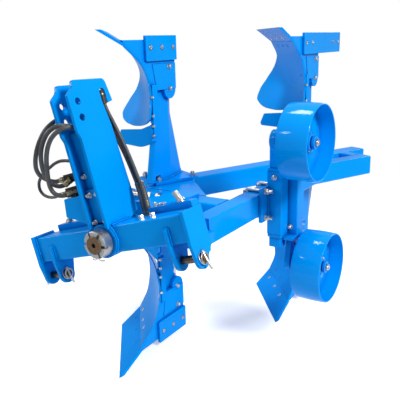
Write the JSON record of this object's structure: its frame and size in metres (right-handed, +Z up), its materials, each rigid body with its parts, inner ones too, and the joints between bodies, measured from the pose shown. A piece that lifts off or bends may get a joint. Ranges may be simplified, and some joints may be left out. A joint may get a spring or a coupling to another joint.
{
  "type": "moldboard plough",
  "caption": "Mounted reversible mouldboard plough with a leaning three-point headstock, paired upper and lower bodies on a box-section frame and drum depth wheels.",
  "frame": {"origin": "on the floor below the middle of the bounding box", "axes": "+X to the land side, +Y rearwards away from the tractor, +Z up"},
  "size_m": [1.2095, 1.9936, 1.47],
  "materials": {
    "blue_paint": "gloss",
    "zinc_steel": "satin",
    "shaft_steel": "satin",
    "chrome_rod": "polished",
    "hose_rubber": "matte",
    "valve_steel": "satin"
  },
  "bodies": {
    "frame": {"castle_nut": "zinc_steel", "clamp_bolts": "zinc_steel", "column_clamp": "zinc_steel", "cross_member": "blue_paint", "frog_front_lower": "blue_paint", "frog_front_upper": "blue_paint", "frog_rear_lower": "blue_paint", "frog_rear_upper": "blue_paint", "landside_front_lower": "blue_paint", "landside_front_upper": "blue_paint", "landside_rear_lower": "blue_paint", "landside_rear_upper": "blue_paint", "leg_front_lower": "blue_paint", "leg_front_upper": "blue_paint", "leg_rear_lower": "blue_paint", "leg_rear_upper": "blue_paint", "main_beam": "blue_paint", "mouldboard_front_lower": "blue_paint", "mouldboard_front_upper": "blue_paint", "mouldboard_rear_lower": "blue_paint", "mouldboard_rear_upper": "blue_paint", "rear_tie": "blue_paint", "share_front_lower": "blue_paint", "share_front_upper": "blue_paint", "share_rear_lower": "blue_paint", "share_rear_upper": "blue_paint", "side_beam": "blue_paint", "trash_board_front_lower": "blue_paint", "trash_board_front_upper": "blue_paint", "trash_board_rear_lower": "blue_paint", "trash_board_rear_upper": "blue_paint", "turnover_shaft": "shaft_steel", "wheel_arms": "blue_paint", "wheel_axles": "zinc_steel", "wheel_column": "blue_paint", "wheel_post": "blue_paint", "wheel_slider": "blue_paint", "width_spindle": "zinc_steel", "yoke_hub": "blue_paint"},
    "headstock": {"cylinder_barrel": "blue_paint", "headstock_crossbar": "blue_paint", "hose_fittings": "valve_steel", "hose_loop_inner": "hose_rubber", "hose_loop_outer": "hose_rubber", "hose_pilot": "hose_rubber", "hose_rear_inner": "hose_rubber", "hose_rear_outer": "hose_rubber", "hose_side": "hose_rubber", "lower_link_ears_left": "blue_paint", "lower_link_ears_right": "blue_paint", "lower_link_pins": "zinc_steel", "mast_cover": "blue_paint", "mast_plates": "blue_paint", "mast_web": "blue_paint", "stop_screws": "zinc_steel", "valve_blocks": "valve_steel"},
    "turnover_cylinder_rod": {"cylinder_rod": "chrome_rod"},
    "upper_wheel": {"wheel_upper": "blue_paint"},
    "lower_wheel": {"wheel_lower": "blue_paint"}
  },
  "joints": [
    {"name": "turnover", "type": "hinge", "parent": "frame", "child": "headstock", "pos_m": [0.0438, -0.8642, 0.735], "axis": [0, -1, 0], "range_deg": [0, 148]},
    {"name": "upper_wheel_spin", "type": "hinge", "parent": "frame", "child": "upper_wheel", "pos_m": [0.5438, -0.2702, 1.027], "axis": [1, 0, 0], "continuous": true},
    {"name": "lower_wheel_spin", "type": "hinge", "parent": "frame", "child": "lower_wheel", "pos_m": [0.5438, -0.1062, 0.452], "axis": [1, 0, 0], "continuous": true},
    {"name": "cylinder_stroke", "type": "slide", "parent": "headstock", "child": "turnover_cylinder_rod", "axis": [0.1019, 0, -0.9948], "range_m": [-0.06, 0]}
  ]
}
